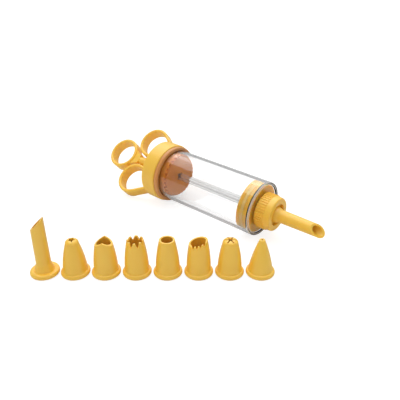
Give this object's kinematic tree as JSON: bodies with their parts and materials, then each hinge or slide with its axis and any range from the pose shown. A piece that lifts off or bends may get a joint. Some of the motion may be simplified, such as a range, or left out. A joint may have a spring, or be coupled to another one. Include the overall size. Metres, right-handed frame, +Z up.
{
  "type": "pastry syringe",
  "caption": "Pastry syringe with a clear barrel, ring-grip cap and plunger, screw-on filling nozzle, and loose decorating tips standing in a row.",
  "frame": {"origin": "middle of the set's footprint, on the surface that it lies on", "axes": "+Z up, +X along the syringe towards its nozzle (tilted slightly down), +Y away from the row of tips"},
  "size_m": [0.2517, 0.204, 0.0599],
  "materials": {
    "clear_acrylic": "clear, polished",
    "yellow_plastic": "satin moulded",
    "amber_plastic": "satin moulded",
    "silicone": "soft matt"
  },
  "bodies": {
    "barrel": {"barrel": "clear_acrylic", "collar_ring": "amber_plastic", "loose_filler_tip": "yellow_plastic", "star_tip": "yellow_plastic", "leaf_tip": "yellow_plastic", "open_star_tip": "yellow_plastic", "round_tip": "yellow_plastic", "ribbon_tip": "yellow_plastic", "flower_tip": "yellow_plastic", "writing_tip": "yellow_plastic"},
    "cap": {"grip_cap": "yellow_plastic", "guide_bush": "amber_plastic"},
    "plunger": {"plunger_rod": "clear_acrylic", "thumb_ring": "yellow_plastic", "piston": "yellow_plastic", "piston_seal": "silicone"},
    "nozzle": {"filler_nozzle": "yellow_plastic"},
    "nut": {"coupler_nut": "yellow_plastic"}
  },
  "joints": [
    {"name": "cap_twist", "type": "hinge", "parent": "barrel", "child": "cap", "pos_m": [-0.04042, 0.06954, 0.02892], "axis": [-0.9993, 0, 0.0368], "range_deg": [0, 60]},
    {"name": "plunger_slide", "type": "slide", "parent": "cap", "child": "plunger", "axis": [-0.9993, 0, 0.0368], "range_m": [0, 0.079]},
    {"name": "nozzle_release", "type": "slide", "parent": "barrel", "child": "nozzle", "axis": [0.9993, 0, -0.0368], "range_m": [0, 0.0076]},
    {"name": "nut_turn", "type": "hinge", "parent": "nozzle", "child": "nut", "pos_m": [0.0675, 0.06954, 0.02495], "axis": [0.9993, 0, -0.0368], "range_deg": [0, 900]}
  ],
  "couplings": [
    {"joint": "nozzle_release", "follows": "nut_turn", "m_per_rad": 0.00047746}
  ]
}
